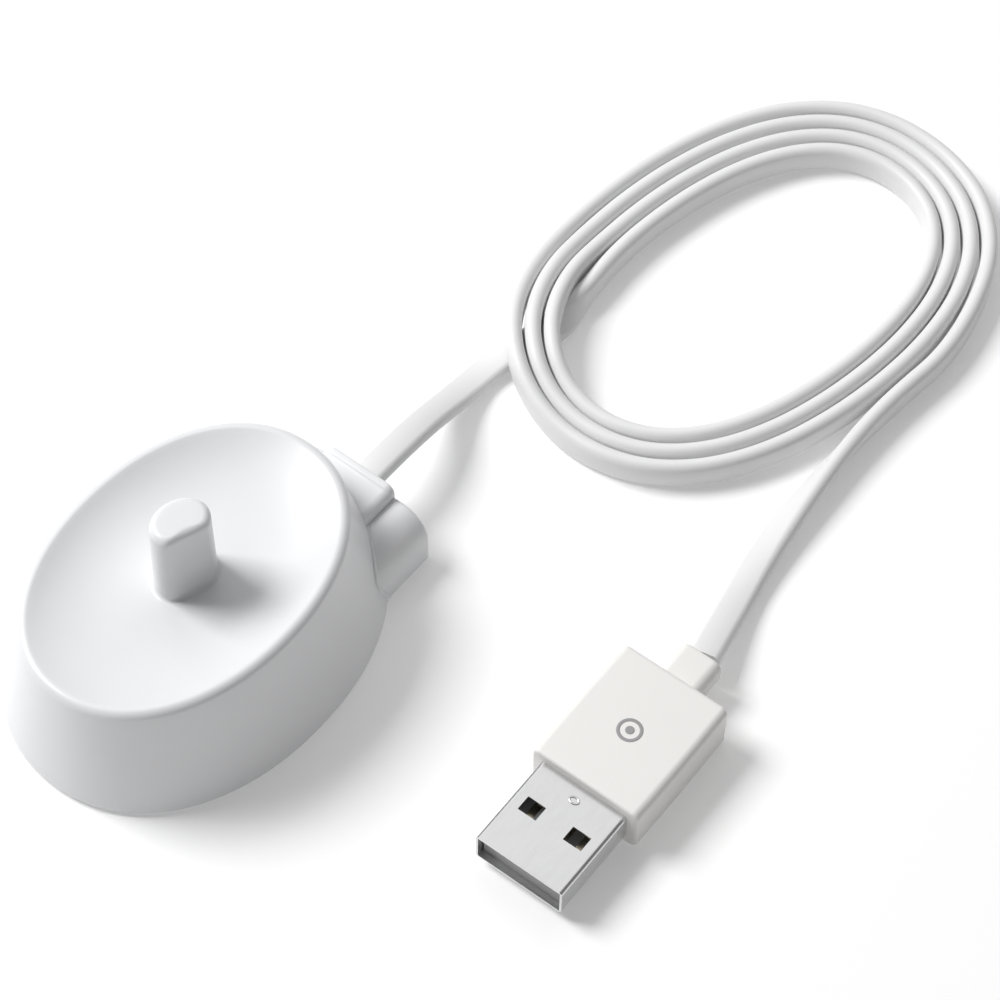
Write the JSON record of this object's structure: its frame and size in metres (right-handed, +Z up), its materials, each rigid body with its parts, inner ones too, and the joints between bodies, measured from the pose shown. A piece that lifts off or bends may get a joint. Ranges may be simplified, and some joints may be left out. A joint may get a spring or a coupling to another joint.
{
  "type": "inductive toothbrush charger with cord",
  "caption": "Oval inductive charging base with an upright post in its dish, a flat white cord in a loose oval coil and a flat plug.",
  "frame": {"origin": "on the surface that the base rests on, under the middle of the base's footprint, cord left out", "axes": "+Z up, +Y from the oval base towards the cord outlet, +X to the right seen from the front"},
  "size_m": [0.0761, 0.1391, 0.0268],
  "materials": {
    "shell_plastic": "smooth gloss",
    "cord_sheath": "satin",
    "grip_plastic": "fine matte",
    "foot_rubber": "matte",
    "seal_silicone": "satin",
    "screw_steel": "zinc plated",
    "plug_nickel": "satin nickel plate",
    "contact_gold": "gold flash",
    "tongue_plastic": "moulded",
    "board_laminate": "solder mask",
    "chip_epoxy": "moulded",
    "capacitor_case": "satin",
    "resistor_ceramic": "glazed",
    "winding_copper": "enamelled copper",
    "ferrite": "sintered",
    "bobbin_plastic": "moulded",
    "wire_sheath": "satin",
    "inner_plastic": "moulded"
  },
  "bodies": {
    "root": {"top_shell": "shell_plastic", "bottom_plate": "inner_plastic", "seal_ring": "seal_silicone", "rubber_feet": "foot_rubber", "base_screws": "screw_steel", "rear_housing": "shell_plastic", "gland_plate": "shell_plastic", "cord_clamp": "inner_plastic", "inner_cord": "cord_sheath", "supply_wires": "wire_sheath", "ferrite_core": "ferrite", "coil_bobbin": "bobbin_plastic", "primary_winding": "winding_copper", "circuit_board": "board_laminate", "board_screws": "screw_steel", "resonance_capacitor": "capacitor_case", "filter_capacitor": "capacitor_case", "driver_chip": "chip_epoxy", "switch_transistor": "chip_epoxy", "chip_resistors": "resistor_ceramic", "cord_lead": "cord_sheath", "cord_coil": "cord_sheath", "cord_tail": "cord_sheath", "plug_grip": "grip_plastic", "plug_collar": "grip_plastic", "plug_shell": "plug_nickel", "plug_tongue": "tongue_plastic", "plug_contacts": "contact_gold"}
  },
  "joints": []
}
